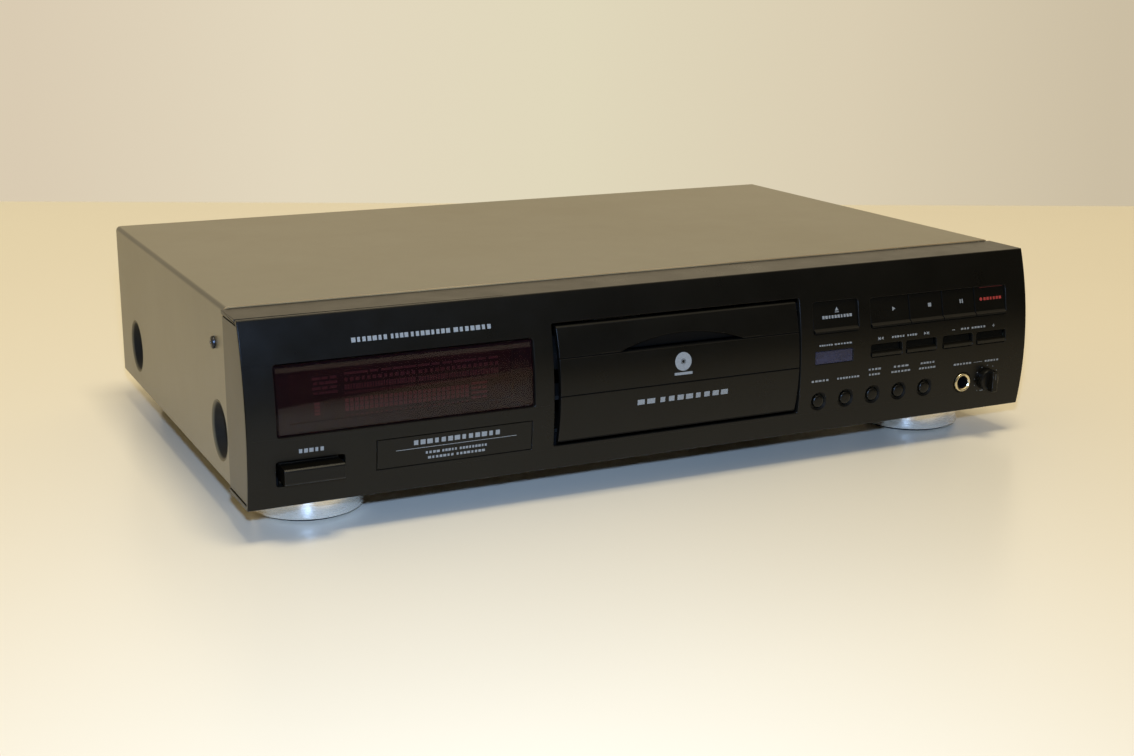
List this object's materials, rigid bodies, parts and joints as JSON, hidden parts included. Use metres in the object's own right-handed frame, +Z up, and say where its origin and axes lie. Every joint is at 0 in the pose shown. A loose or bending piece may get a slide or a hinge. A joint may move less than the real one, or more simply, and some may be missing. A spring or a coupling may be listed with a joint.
{
  "type": "cd recorder",
  "caption": "Low wide hi-fi component with a curved front, a motor driven disc tray, a display window, keys and a level knob, on round feet.",
  "frame": {"origin": "middle of the footprint, on the surface that the feet stand on", "axes": "+X to the right across the front as a user sees it, the front towards -Y, +Z up"},
  "size_m": [0.4366, 0.2946, 0.1031],
  "materials": {
    "fascia": "satin black moulding, finely grained",
    "key_plastic": "satin black keys",
    "smoked_window": "glossy smoked red window",
    "display_tube": "unlit fluorescent display",
    "sensor_tint": "tinted window",
    "cover_paint": "satin charcoal paint on steel sheet",
    "plated_steel": "zinc plated steel",
    "foot_silver": "turned silver foot",
    "black_plastic": "black moulding",
    "pad_rubber": "foot pad",
    "screw_black": "black plated screw",
    "jack_metal": "plated ring",
    "circuit_board": "green circuit board with parts",
    "transformer_iron": "varnished laminations and coil",
    "loader_plastic": "black loader moulding",
    "pale_plastic": "natural acetal moulding",
    "rod_steel": "ground steel rod"
  },
  "bodies": {
    "case": {"front_panel": "fascia", "end_cap_left": "fascia", "end_cap_right": "fascia", "info_plate": "fascia", "display_window": "smoked_window", "vfd_display": "display_tube", "sensor_window": "sensor_tint", "front_board": "circuit_board", "headphone_jack": "black_plastic", "jack_ring": "jack_metal", "top_cover": "cover_paint", "side_screw_left": "screw_black", "side_screw_right": "screw_black", "chassis_pan": "plated_steel", "rear_panel": "cover_paint", "foot_front_left": "foot_silver", "foot_front_right": "foot_silver", "foot_rear_left": "black_plastic", "foot_rear_right": "black_plastic", "foot_pad_front_left": "pad_rubber", "foot_pad_front_right": "pad_rubber", "foot_pad_rear_left": "pad_rubber", "foot_pad_rear_right": "pad_rubber", "main_board": "circuit_board", "power_board": "circuit_board", "transformer": "transformer_iron", "mains_inlet": "black_plastic", "analog_jacks": "black_plastic", "digital_jacks": "black_plastic", "loader_frame": "loader_plastic", "clamp_bridge": "plated_steel", "loading_motor": "plated_steel", "drive_belt": "pad_rubber"},
    "tray": {"disc_tray": "loader_plastic", "tray_front": "fascia"},
    "drive_gear": {"drive_pulley": "pale_plastic"},
    "motor_wheel": {"motor_pulley": "pale_plastic"},
    "pickup_frame": {"traverse": "loader_plastic", "guide_rod_left": "rod_steel", "guide_rod_right": "rod_steel"},
    "spindle": {"turntable": "pale_plastic"},
    "sled": {"pickup_sled": "loader_plastic"},
    "feed": {"feed_screw": "rod_steel"},
    "clamp": {"clamp_puck": "pale_plastic"},
    "knob": {"level_knob": "key_plastic"},
    "power_key_body": {"power_key": "key_plastic"},
    "open_close_key_body": {"open_close_key": "key_plastic"},
    "play_key_body": {"play_key": "key_plastic"},
    "stop_key_body": {"stop_key": "key_plastic"},
    "pause_key_body": {"pause_key": "key_plastic"},
    "record_key_body": {"record_key": "key_plastic"},
    "skip_back_key_body": {"skip_back_key": "key_plastic"},
    "skip_forward_key_body": {"skip_forward_key": "key_plastic"},
    "level_down_key_body": {"level_down_key": "key_plastic"},
    "level_up_key_body": {"level_up_key": "key_plastic"},
    "erase_key_body": {"erase_key": "key_plastic"},
    "finalize_key_body": {"finalize_key": "key_plastic"},
    "sync_key_body": {"sync_key": "key_plastic"},
    "auto_key_body": {"auto_key": "key_plastic"},
    "input_key_body": {"input_key": "key_plastic"}
  },
  "joints": [
    {"name": "tray_slide", "type": "slide", "parent": "case", "child": "tray", "axis": [0, -1, 0], "range_m": [0, 0.142]},
    {"name": "drive_pulley_spin", "type": "hinge", "parent": "case", "child": "drive_gear", "pos_m": [0.0481, -0.09077, 0.0422], "axis": [0, 0, 1], "range_deg": [-1020, 0]},
    {"name": "motor_pulley_spin", "type": "hinge", "parent": "case", "child": "motor_wheel", "pos_m": [0.0081, -0.09077, 0.0422], "axis": [0, 0, 1], "range_deg": [-3420, 0]},
    {"name": "traverse_tilt", "type": "hinge", "parent": "case", "child": "pickup_frame", "pos_m": [0.0016, 0.05623, 0.0542], "axis": [1, 0, 0], "range_deg": [0, 4]},
    {"name": "turntable_spin", "type": "hinge", "parent": "pickup_frame", "child": "spindle", "pos_m": [0.0016, -0.06177, 0.0562], "axis": [0, 0, 1], "continuous": true},
    {"name": "sled_slide", "type": "slide", "parent": "pickup_frame", "child": "sled", "axis": [0, 1, 0], "range_m": [0, 0.036]},
    {"name": "feed_screw_spin", "type": "hinge", "parent": "pickup_frame", "child": "feed", "pos_m": [0.0306, -0.01377, 0.0542], "axis": [0, 1, 0], "range_deg": [0, 2170]},
    {"name": "clamp_spin", "type": "hinge", "parent": "case", "child": "clamp", "pos_m": [0.0016, -0.06177, 0.0682], "axis": [0, 0, 1], "continuous": true},
    {"name": "power_key_press", "type": "slide", "parent": "case", "child": "power_key_body", "axis": [0, 1, 0], "range_m": [0, 0.003], "stiffness_N_per_m": 400, "springref_m": -0.001},
    {"name": "open_close_key_press", "type": "slide", "parent": "case", "child": "open_close_key_body", "axis": [0, 1, 0], "range_m": [0, 0.001], "stiffness_N_per_m": 400, "springref_m": -0.001},
    {"name": "play_key_press", "type": "slide", "parent": "case", "child": "play_key_body", "axis": [0, 1, 0], "range_m": [0, 0.001], "stiffness_N_per_m": 400, "springref_m": -0.001},
    {"name": "stop_key_press", "type": "slide", "parent": "case", "child": "stop_key_body", "axis": [0, 1, 0], "range_m": [0, 0.001], "stiffness_N_per_m": 400, "springref_m": -0.001},
    {"name": "pause_key_press", "type": "slide", "parent": "case", "child": "pause_key_body", "axis": [0, 1, 0], "range_m": [0, 0.001], "stiffness_N_per_m": 400, "springref_m": -0.001},
    {"name": "record_key_press", "type": "slide", "parent": "case", "child": "record_key_body", "axis": [0, 1, 0], "range_m": [0, 0.001], "stiffness_N_per_m": 400, "springref_m": -0.001},
    {"name": "skip_back_key_press", "type": "slide", "parent": "case", "child": "skip_back_key_body", "axis": [0, 1, 0], "range_m": [0, 0.001], "stiffness_N_per_m": 400, "springref_m": -0.001},
    {"name": "skip_forward_key_press", "type": "slide", "parent": "case", "child": "skip_forward_key_body", "axis": [0, 1, 0], "range_m": [0, 0.001], "stiffness_N_per_m": 400, "springref_m": -0.001},
    {"name": "level_down_key_press", "type": "slide", "parent": "case", "child": "level_down_key_body", "axis": [0, 1, 0], "range_m": [0, 0.001], "stiffness_N_per_m": 400, "springref_m": -0.001},
    {"name": "level_up_key_press", "type": "slide", "parent": "case", "child": "level_up_key_body", "axis": [0, 1, 0], "range_m": [0, 0.001], "stiffness_N_per_m": 400, "springref_m": -0.001},
    {"name": "erase_key_press", "type": "slide", "parent": "case", "child": "erase_key_body", "axis": [0, 1, 0], "range_m": [0, 0.0012], "stiffness_N_per_m": 400, "springref_m": -0.001},
    {"name": "finalize_key_press", "type": "slide", "parent": "case", "child": "finalize_key_body", "axis": [0, 1, 0], "range_m": [0, 0.0012], "stiffness_N_per_m": 400, "springref_m": -0.001},
    {"name": "sync_key_press", "type": "slide", "parent": "case", "child": "sync_key_body", "axis": [0, 1, 0], "range_m": [0, 0.0012], "stiffness_N_per_m": 400, "springref_m": -0.001},
    {"name": "auto_key_press", "type": "slide", "parent": "case", "child": "auto_key_body", "axis": [0, 1, 0], "range_m": [0, 0.0012], "stiffness_N_per_m": 400, "springref_m": -0.001},
    {"name": "input_key_press", "type": "slide", "parent": "case", "child": "input_key_body", "axis": [0, 1, 0], "range_m": [0, 0.0012], "stiffness_N_per_m": 400, "springref_m": -0.001},
    {"name": "level_knob_turn", "type": "hinge", "parent": "case", "child": "knob", "pos_m": [0.1927, -0.14177, 0.0331], "axis": [0, 1, 0], "range_deg": [-150, 150]}
  ],
  "couplings": [
    {"joint": "drive_pulley_spin", "follows": "tray_slide", "rad_per_m": -125},
    {"joint": "motor_pulley_spin", "follows": "tray_slide", "rad_per_m": -419.12},
    {"joint": "feed_screw_spin", "follows": "sled_slide", "rad_per_m": 991.04}
  ]
}
